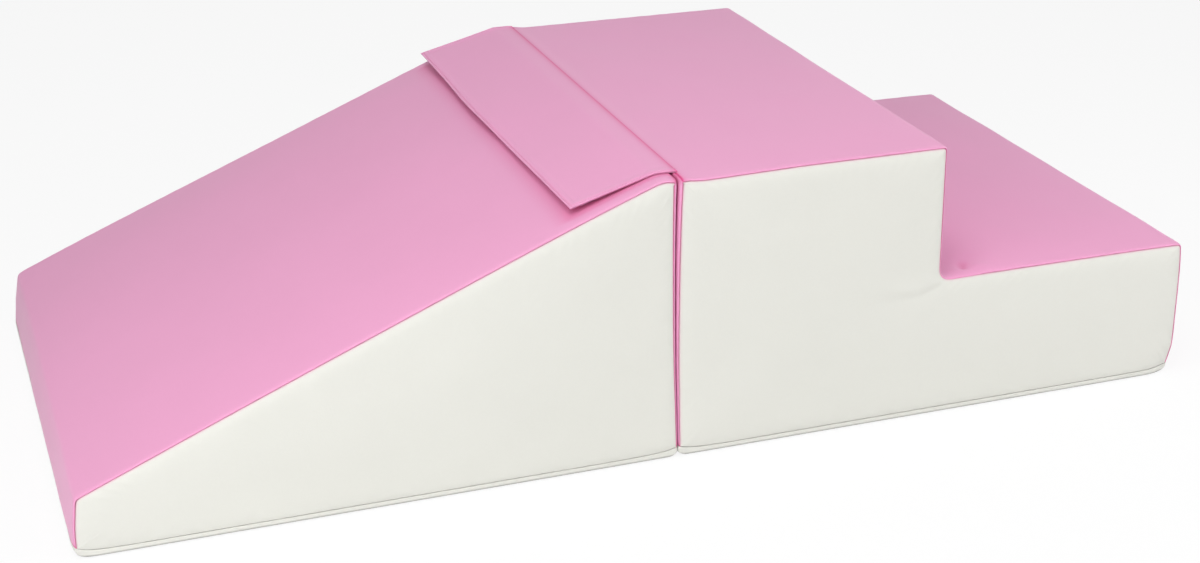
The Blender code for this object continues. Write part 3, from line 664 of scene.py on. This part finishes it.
# Ramp base
# White coated cloth under the block, turned up 7 mm along it and 12 mm at its corners, and sewn on.
# A long fold in it holds the zip, set back from the floor so that nothing scratches.
def base_panel(name, form, low_x, high_x, zip_low, zip_high, seed):
    """A shallow tray in level loops of a rounded rectangle, from its hem down to the floor.

    The edge curls under: by a quarter circle of 7 mm at the ends of the block, and by 4.5 mm at its
    sides, where the band is also lower. The band is painted darker beside the floor: painted shade where
    it meets the floor. From the floor the loops draw in to the mouth of the zip's fold, up its walls and
    in to its slot.
    """
    along, across, bend = 130, 66, 6

    def loop(x0, x1, half, corner, level):
        """A level rounded rectangle: a quarter circle at each corner, and even points between."""
        angle = np.radians(np.linspace(0, 90, bend))
        arcs = []
        for quarter, (sx, sy) in enumerate(((1, 1), (-1, 1), (-1, -1), (1, -1))):
            turned = angle + quarter * math.pi / 2
            x = (x0 + x1) / 2 + sx * ((x1 - x0) / 2 - corner) + corner * np.cos(turned)
            arcs.append(np.column_stack([x, sy * (half - corner) + corner * np.sin(turned)]))
        pieces = []
        for quarter, count in enumerate((along, across, along, across)):
            last, after = arcs[quarter][-1], arcs[(quarter + 1) % 4][0]
            pieces += [arcs[quarter], last + (after - last) * np.arange(1, count)[:, None] / count]
        flat = np.vstack(pieces)
        return np.column_stack([flat, np.full(len(flat), level)])

    rings = [loop(low_x + inset, high_x - inset, form.half - inset, 0.0036, level)
             for inset, level in ((0.0012, 0.01), (0.0004, 0.01035), (0.0001, 0.0102))]
    for level in 0.0095 * (1 - np.sin(np.radians(np.linspace(0, 90, 13)))):
        end, flank = (bend - math.sqrt(bend ** 2 - max(bend - level, 0) ** 2) for bend in (0.007, 0.0045))
        rings.append(loop(low_x + end, high_x - end, form.half - flank, 0.004 + end * 0.8, level))
    rim, outer = len(rings), rings[-1]
    fold, lip, corner, slot_end = 0.0178, 0.0008, 0.0028, 0.013
    mouth = loop(zip_low - lip, zip_high + lip, fold, 0.003, 0)
    rings += [outer + (mouth - outer) * share for share in (0.04, 0.12, 0.3, 0.6, 0.85, 0.97, 1)]
    for inset, level in ((0.0005, 0.0003), (0.0008, 0.001), (0.0008, 0.004), (0.0008, 0.007),
                         (0.0012, 0.0077), (0.0022, 0.008)):
        rings.append(loop(zip_low - lip + inset, zip_high + lip - inset, fold - inset, corner, level))
    for half, level in ((0.0085, 0.008), (0.0074, 0.0081), (0.007, 0.0086), (0.0072, 0.009)):
        rings.append(loop(zip_low + slot_end - half, zip_high - slot_end + half, half, corner, level))
    points = np.array(rings)
    points[:rim, :, 2] *= form.base_line(np.clip(points[:rim, :, 0], low_x, high_x)) / 0.0105
    pucker = np.sin(points[..., 0] * math.tau / 0.023 + points[..., 1] * 31 + seed)
    number = np.arange(len(rings))[:, None]
    band = bell(points[..., 2] - 0.0085, 0.002) * (number < rim)
    points[..., 1] += np.sign(points[..., 1]) * 0.0002 * pucker * band
    # Painted shade beside the floor: dark grey over the lowest few millimetres of the band.
    contact_shade = np.interp(points[..., 2], (0.0009, 0.0036), (1, 0)) * (number < rim + 1)
    seam_and_shade = np.maximum(np.interp(number, (1, 3), (0.05, 0)), contact_shade)
    points = form.settled(points, cover=False)
    return surface(name, points, ((low_x + high_x) / 2, 0, 0.012), closed=True, seam=seam_and_shade)


# White cloth whose third colour is dark grey: painted shade at the foot of the band, beside the floor.
white_contact_shaded = coated_cloth("white_cloth_contact_shaded", *white_tones, (0.3, 0.29, 0.28, 1), 0.4)
zips = {"ramp": (-0.547, -0.057), "steps": (0.068, 0.543)}
base = base_panel("ramp_base_panel", ramp, -0.607, 0.0052, *zips["ramp"], 0.4)
covered(base, white_contact_shaded, "ramp", "ramp_base_cover")


# Ramp zip
# A white nylon coil zip lets the cover come off the foam. Its two woven tapes are sewn above the
# slot of the fold, its coil shows in the slot, and its slider has no pull, so that a child can't open it.
def woven(name, colour, deep, pitch, rough=0.85, fuzz=0.3):
    """A close plain weave: threads across and threads along, as two crossed waves."""
    material, nodes, shader = new_finish(name)
    where = nodes.add("TexCoord", output="Object")
    split = nodes.add("SeparateXYZ", sockets={"Vector": where}).socket.node.outputs
    along, across = Wire(nodes.tree, split["X"]), Wire(nodes.tree, split["Y"])
    threads = (along * (math.tau / pitch)).sine() * (across * (math.tau / pitch)).sine()
    hair = nodes.noise(where, 1400.0, 3.0)
    relief = threads * 0.5 + hair * fuzz + 0.5
    tint = nodes.mixed(relief, deep, colour)
    bump = nodes.bump(0.7, 0.0002, relief)
    nodes.set(shader, {"Base Color": tint, "Roughness": rough, "Specular IOR Level": 0.2, "Normal": bump})
    return material


def mottled(name, low, high, scale, detail, rough, spread=0.0, pitted=False):
    """Two near colours clouded by fine noise. The noise also spreads the roughness, and cast metal
    has fine pits."""
    material, nodes, shader = new_finish(name)
    where = nodes.add("TexCoord", output="Object")
    cloud = nodes.noise(where, scale, detail)
    rough = cloud * spread + rough if spread else rough
    nodes.set(shader, {"Base Color": nodes.mixed(cloud, low, high), "Roughness": rough})
    if pitted:
        pits = nodes.noise(where, 900.0, 4.0)
        bump = nodes.bump(0.3, 0.0001, pits)
        nodes.set(shader, {"Metallic": 1.0, "Normal": bump})
    return material


def tube(path, radius, sides):
    """Rings of a round profile carried along a path, or along each of many: each ring is square to
    the path's direction."""
    ahead = np.gradient(path, axis=-2)
    ahead /= np.linalg.norm(ahead, axis=-1)[..., None]
    across = np.cross(ahead, (0.0, 0.0, 1.0))
    across /= np.linalg.norm(across, axis=-1)[..., None]
    up = np.cross(across, ahead)
    angle = np.linspace(0, math.tau, sides, endpoint=False)[:, None]
    across, up = across[..., None, :], up[..., None, :]
    return path[..., None, :] + radius * (across * np.cos(angle) + up * np.sin(angle))


def joined(name, items):
    """Several made pieces as one object."""
    whole = bmesh.new()
    for item in items:
        whole.from_mesh(item.data)
        bpy.data.objects.remove(item)
    made = bpy.data.meshes.new(name)
    whole.to_mesh(made)
    whole.free()
    return placed(name, made)


def zip_tape(name, low_x, high_x, side):
    """A flat woven tape, 13 mm wide, with a thicker corded edge beside the coil."""
    around = np.radians(np.linspace(0, 360, 24, endpoint=False))
    width = 0.0065 * np.sign(np.cos(around)) * abs(np.cos(around)) ** 0.4
    thick = 0.00028 * np.sin(around)
    out, level = 0.0067, 0.0098
    x = np.linspace(low_x, high_x, 160)[:, None]
    points = np.stack(np.broadcast_arrays(x, side * (out + width), level + thick), axis=-1)
    return surface(name, points, ((low_x + high_x) / 2, side * out, level), True, (True, True))


def zip_coil(name, low_x, high_x):
    """Two meshed coils of nylon wire, a turn each 1.3 mm, and a stop at each end.

    A coil's path is a flat ellipse in the YZ plane that moves on along X. The second one is half a
    turn behind the first.
    """
    pitch, apart, level = 0.0013, 0.0009, 0.0081
    turns = int((high_x - low_x - 0.008) / pitch)
    angle = np.linspace(0, math.tau * turns, turns * 9 + 1)
    made = []
    for side, phase in ((-1, 0), (1, math.pi)):
        path = np.column_stack([
            low_x + 0.004 + pitch * angle / math.tau,
            side * apart + 0.0013 * np.cos(angle + phase),
            level + 0.0007 * np.sin(angle + phase)])
        centre = ((low_x + high_x) / 2, side * apart, level)
        made.append(surface("coil", tube(path, 0.00032, 4), centre, True, (True, True)))
    for x in (low_x + 0.0018, high_x - 0.0018):
        tilt = np.radians(np.linspace(-85, 85, 11))[:, None]
        turn = np.radians(np.linspace(0, 360, 20, False))
        ring = np.cos(tilt) ** 0.5
        points = np.stack([
            x + 0.0013 * ring * np.sign(np.cos(turn)) * abs(np.cos(turn)) ** 0.6,
            0.0054 * ring * np.sign(np.sin(turn)) * abs(np.sin(turn)) ** 0.5,
            np.broadcast_to(level + 0.001 * np.sin(tilt), (11, 20))], axis=-1)
        made.append(surface("stop", points, (x, 0, level), True, (True, True)))
    return joined(name, made)


tape_weave = woven("white_zip_tape", (0.8, 0.8, 0.77, 1), (0.62, 0.62, 0.6, 1), 0.0009)
coil_nylon = mottled("white_nylon", (0.7, 0.7, 0.68, 1), (0.82, 0.82, 0.8, 1), 60.0, 2.0, 0.25, 0.2)
slider_metal = mottled(
    "cast_zinc", (0.42, 0.42, 0.44, 1), (0.68, 0.68, 0.7, 1), 240.0, 2.0, 0.32, 0.2, pitted=True)
for block, (low_x, high_x) in zips.items():
    for label, side in (("near", -1), ("far", 1)):
        tape = zip_tape(f"{block}_tape_{label}", low_x + 0.0004, high_x - 0.0004, side)
        fitted(tape, tape_weave, block, f"{block}_zip_tape_{label}")
    coil = zip_coil(f"{block}_coil", low_x + 0.0063, high_x - 0.0063)
    fitted(coil, coil_nylon, block, f"{block}_zip_coil")
    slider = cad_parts[f"{block}_zip_slider"]
    slider.data.materials.clear()
    slider.data.materials.append(slider_metal)


# Step block foam
# Two firm foam slabs, the short one glued on the long one, in one soft body.
def steps_form():
    """The step block from its upright end at x = 0: base, far end, tread, riser and top."""
    end, front, tread, high = 0.595, 0.295, 0.157, 0.3045
    start = -0.002
    corners = [(start, 0, 0.01, 5), (end, 0, 0.01, 5), (end, Form.band, 0, 1), (end, tread, 0.005, 6),
               (front, tread, 0.01, 9), (front, high, 0.005, 6), (start, high, 0.0022, 7),
               (start, Form.band, 0, 1)]
    edges = [(0, 0, 118), (0, 0, 1), (0.003, 0.002, 44), (0.003, 0.0008, 86), (0.003, 0, 40),
             (0.002, 0, 88), (0, 0, 84), (0, 0, 1)]
    low, reach = Form.band + Form.reach, Form.reach
    heart = [(reach, low), (end - reach, low), (end - reach, low + 0.003), (end - reach, tread - reach),
             (front - reach, tread - reach), (front - reach, high - reach), (reach, high - reach),
             (reach, low + 0.003)]
    return Form(0.008, corners, edges, heart, (0.19, 0.085), 0.008, (0.0016, 0, 1))


steps = steps_form()
steps_foam = fitted(
    foam_block("steps_foam_block", steps), foam, "steps", "steps_lower_foam", "steps_upper_foam")

# Step block tread cover
# One long strip of the pink cloth over the top, the riser, the tread and the far end. It bridges the
# inner corner, where it is pulled tight and dimples beside the seam.
# Dents at the inner corner; the deep ones are painted darker, as painted shade in their creases.
inner = ((0.34, -0.279, 0.159, 0.0055, -0.0022), (0.344, -0.271, 0.16, 0.0065, -0.002),
         (0.351, -0.262, 0.16, 0.011, -0.001), (0.359, -0.283, 0.16, 0.011, 0.0013),
         (0.329, -0.281, 0.16, 0.008, 0.0008), (0.324, -0.272, 0.166, 0.03, -0.0012),
         (0.346, 0.267, 0.16, 0.01, -0.0014), (0.326, 0.272, 0.166, 0.028, -0.001))
tread = strip("steps_tread", steps, steps.starts[2], steps.starts[6], 31, inner,
              pulls=(0.0006, 0.0004), step=0.003)
covered(tread, pink, "steps", "steps_tread_cover")

# Step block end cover
# The pink panel against the ramp, sewn to the flap and the top along their common seam.
# The whole end is painted deeper: painted shade in the gap between the blocks.
end = strip("steps_end", steps, steps.starts[6], steps.starts[7], 32, shade_zone=(-0.1, 0, 0.4, 0.003))
covered(end, pink, "steps", "steps_end_cover")

# Step block sides
# White L-shaped panels. The cloth is cut in one piece round the inner corner, so it pulls there into
# soft folds that run out into the panel.
near_folds = (
    ((0.2985, 0.156), (0.262, 0.15), 0.008, 0.0018), ((0.266, 0.1503), (0.206, 0.153), 0.009, 0.0012),
    ((0.3, 0.149), (0.265, 0.1415), 0.0065, -0.0016), ((0.269, 0.142), (0.206, 0.144), 0.008, -0.001),
    ((0.296, 0.135), (0.281, 0.124), 0.006, 0.0006),
)
far_folds = (
    ((0.2985, 0.154), (0.235, 0.139), 0.008, 0.001), ((0.3, 0.147), (0.245, 0.131), 0.007, -0.0008),
    ((0.299, 0.144), (0.265, 0.105), 0.0065, -0.0006),
)
for label, side, seed, folds in (("near", -1, 41, near_folds), ("far", 1, 42, far_folds)):
    panel = side_panel(f"steps_side_panel_{label}", steps, side, seed, folds)
    covered(panel, white, "steps", f"steps_side_{label}")

# Step block base
# The same white tray as the ramp's, with its own zip.
base = base_panel("steps_base_panel", steps, 0.006, 0.603, *zips["steps"], 1.9)
covered(base, white_contact_shaded, "steps", "steps_base_cover")


# Flap
# A double layer of the pink cloth, hemmed all round and fixed in the step block's top seam. It lies
# over the joint and the ramp's crest, and its free edge lifts a little, more at the far end.
class Flap:
    """Where the flap lies. It runs level from its hinge, round the crest, then down the deck.

    A place is the crest's centre plus the normal times (radius + swelling of the deck + height +
    lift of the free edge), plus the way down the slope. The last 8 mm dip towards the hinge. The
    free edge isn't cut quite straight: it runs 2.4 mm out beside the middle and 2.6 mm in at the
    near end. The stitching runs 2.7 mm inside the edges.
    """

    low_y, high_y, width, axis_x, axis_z = -0.28, 0.292, 0.118, 0.0104, 0.308782
    stitched, joint, bend, high, blunt = 0.0027, 0.003, 0.014, 0.314, 0.065
    slope = math.atan2(high - blunt, 0.6)
    centre = np.array([joint - bend, high - bend * (math.tan(slope) + 1 / math.cos(slope))])
    radius = axis_z - centre[1]
    lead = axis_x - centre[0]

    def place(self, along, y, height, lifted=1.0):
        cut = 0.0024 * bell(y - 0.075, 0.08) - 0.0026 * unit((-y - 0.08) / 0.2) ** 1.5
        along = along + cut * unit(along / self.width) ** 3
        past = along - self.lead
        angle = np.clip(past / self.radius, 0, self.slope)
        down = np.clip(past - self.radius * self.slope, 0, None)
        share = np.clip(y / self.high_y, -1, 1)
        fade = 1 - abs(y / Form.half) ** 4
        swell = (0.003 + 0.004 * fade) * (1 - abs(2 * down / 0.617 - 1) ** 4)
        end = np.where(share > 0, 0.0105, 0.0072)
        ripple = 0.0006 * np.sin(2.3 * math.pi * share) * (1 - share ** 2)
        ripple = ripple + 0.0005 * np.sin(7.1 * share + 0.6) * (1 - share ** 4)
        edge = 0.0055 + (end - 0.0055) * share ** 2 + ripple
        free = np.clip(past / (self.width - self.lead), 0, None) ** 1.25
        uneven = 0.00025 * waves(51, along, y, 0.05, 0.15) * unit(past / 0.03)
        dip = 0.0008 * unit(1 - along / 0.008) ** 2
        out = self.radius + (np.where(past > 0, swell + lifted * (edge * free + uneven), -dip) + height)
        x = -np.minimum(past, 0) - np.sin(angle) * out - math.cos(self.slope) * down
        z = np.cos(angle) * out - math.sin(self.slope) * down
        return np.stack([self.centre[0] + x, np.broadcast_to(y, x.shape), self.centre[1] + z], axis=-1)


def edged(low, high, step, fine):
    """Even places between two ends, with close ones beside each end for a round rim and a hem."""
    near = fine * np.array(
        [0, 0.04, 0.15, 0.35, 0.65, 1.0, 1.6, 2.3, 2.9, 3.5, 4.3, 5.5, 7, 8.5, 9.5, 10.5])
    inside = np.linspace(low + near[-1], high - near[-1], max(2, round((high - low) / step)))
    return np.concatenate([low + near[:-1], inside, high - near[:-1][::-1]])


def hemmed(line, hem):
    """How far the upper face stands above a plain sheet's: a hem 8 mm wide, less a stitched groove."""
    edge, soft = 0.0092, 0.0016
    step = unit((edge - line) / soft)
    return hem * (step * step * (3 - 2 * step) - 0.9 * bell(line - Flap.stitched, 0.0009))


def cloth_sheet(name, flap, start, finish, ends, low, high, step=0.003, fine=0.0009, lifted=1.0, hem=0.0):
    """A closed sheet with a round rim: its half thickness is that of a circle near the edge.

    The two faces are one closed ring of points from the hinge round the free edge and back, in a row for
    each place across. On a hemmed sheet the seam value is one at the hinge, painted shade along the hinge
    line, and a third in a stitched groove, painted shade in the groove.
    """
    along, y = edged(start, finish, step, fine), edged(*ends, 0.005, 0.0009)
    s, across = np.meshgrid(along, y, indexing="ij")
    beside = np.minimum(across - ends[0], ends[1] - across)
    rim = np.minimum(np.minimum(s - start, finish - s), beside)
    half = (high - low) / 2
    share = unit(rim / half)
    thick = half * np.sqrt(unit(1 - (1 - share) ** 2))
    line = np.minimum(finish - s, beside)
    groove = 0.3 * bell(line - flap.stitched, 0.0008)
    # Painted shade: dark along the hinge and in the stitched groove, on a hemmed sheet only.
    seam_and_shade = np.maximum(np.exp(-(s - start) / 0.003), groove) * (hem > 0)
    upper = flap.place(s, across, (low + high) / 2 + thick + hemmed(line, hem) * share, lifted)
    lower = flap.place(s, across, (low + high) / 2 - thick, lifted)
    ring = np.concatenate([upper, lower[::-1]]).transpose(1, 0, 2)
    item = surface(name, ring, ring.reshape(-1, 3).mean(axis=0), True,
                   seam=np.concatenate([seam_and_shade, seam_and_shade[::-1]]).transpose())
    mesh = bmesh.new()
    mesh.from_mesh(item.data)
    bmesh.ops.remove_doubles(mesh, verts=mesh.verts, dist=1e-6)
    mesh.to_mesh(item.data)
    mesh.free()
    return item


flap = Flap()
half = 0.00045
outer = cloth_sheet(
    "flap_top_layer", flap, -half, flap.width, (flap.low_y, flap.high_y), -half, half, hem=0.0006)
fitted(outer, pink, "flap", "flap_outer")
inner_layer = cloth_sheet("flap_under_layer", flap, 0.012, 0.1174, (-0.2794, 0.2914), -0.00145, -0.0007)
fitted(inner_layer, pink, "flap", "flap_lining")


# Flap root
# The strip of the same cloth by which the flap is sewn into the step block's top seam. It comes up out of
# the seam and lies under the flap's end.
class Root(Flap):
    """Up out of the seam for 2.2 mm, then along the underside of the flap."""

    up, under = 0.0022, 0.00095

    def place(self, along, y, height, lifted=1.0):
        tail = np.clip(along - self.up, 0, None)
        points = super().place(tail, y, np.where(tail > 0, height, 0) - self.under)
        points[..., 0] += np.where(tail > 0, 0, height)
        points[..., 2] -= np.clip(self.up - along, 0, None)
        return points


root = cloth_sheet(
    "flap_root", Root(), 0, 0.0132, (-0.2797, 0.2917), -0.0004, 0.0004, step=0.0008, fine=0.0004)
root.data.materials.append(pink)
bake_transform(root)
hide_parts("flap_sewn_edge")

# Flap stitching
# One row of lockstitch in pink thread, 2.7 mm inside the three free edges, about 3 mm a stitch.
def stitch_row(name, flap):
    """Short rounded threads set along the flap's edge line: each is a half sine that dips at both
    ends, carried along the line's direction."""
    edge, pitch, clear = flap.stitched, 0.0032, 0.014
    short, long = flap.width - edge, flap.high_y - flap.low_y - 2 * edge
    leg = short - clear
    walk = np.arange(pitch, 2 * leg + long - pitch / 2, pitch)
    ends = np.stack([walk - pitch * 0.36, walk + pitch * 0.36], axis=1)
    share = np.linspace(0, 1, 6)
    at = ends[:, :1] + (ends[:, 1:] - ends[:, :1]) * share
    along = np.where(at < leg, clear + at, np.where(at < leg + long, short, short - (at - leg - long)))
    first, last = flap.low_y + edge, flap.high_y - edge
    across = np.where(at < leg, first, np.where(at < leg + long, first + at - leg, last))
    lift = 0.00052 + 0.00018 * np.sin(math.pi * share)
    path = flap.place(along, across, np.broadcast_to(lift, along.shape))
    thick = (0.00022 * np.sin(math.pi * (0.12 + 0.76 * share)) ** 0.5)[:, None, None]
    ring = tube(path, thick, 6)
    count, rows, sides = ring.shape[:3]
    index = np.arange(rows * sides).reshape(rows, sides)
    ahead = np.roll(index, -1, axis=1)
    quads = np.stack([index[:-1], ahead[:-1], ahead[1:], index[1:]], axis=-1).reshape(-1, 4)
    shift = (np.arange(count) * rows * sides)[:, None, None]
    faces = (quads + shift).reshape(-1, 4)
    lids = (np.array([index[0][::-1], index[-1]]) + shift).reshape(-1, 6)
    made = bpy.data.meshes.new(name)
    made.from_pydata(ring.reshape(-1, 3), [], [*faces.tolist(), *lids.tolist()])
    mesh = bmesh.new()
    mesh.from_mesh(made)
    bmesh.ops.recalc_face_normals(mesh, faces=mesh.faces)
    mesh.to_mesh(made)
    mesh.free()
    made.shade_smooth()
    return placed(name, made)


stitches = stitch_row("flap_stitching", flap)
stitches.data.materials.append(mottled(
    "pink_thread", (0.76, 0.33, 0.54, 1), (0.88, 0.46, 0.67, 1), 2600.0, 1.0, 0.5))
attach(stitches, "flap")

# Hook and loop
# A pink hook tape under the flap's free edge and a loop tape on the deck below it, each 38 mm wide.
pile = woven("pink_loop_pile", (0.74, 0.36, 0.55, 1), (0.6, 0.24, 0.42, 1), 0.0016, 0.95, 1.2)
hooks = woven("pink_hook_tape", (0.72, 0.34, 0.53, 1), (0.52, 0.2, 0.36, 1), 0.0013, 0.6, 0.2)
tape = 0.066, 0.104, (-0.27, 0.27)
hook = cloth_sheet("flap_hook_strip", flap, *tape, -0.0024, -0.0015)
fitted(hook, hooks, "flap", "flap_hook_tape")
loop = cloth_sheet("ramp_loop_strip", flap, *tape, -0.00145, -0.00025, lifted=0.0)
fitted(loop, pile, "ramp", "ramp_loop_tape")
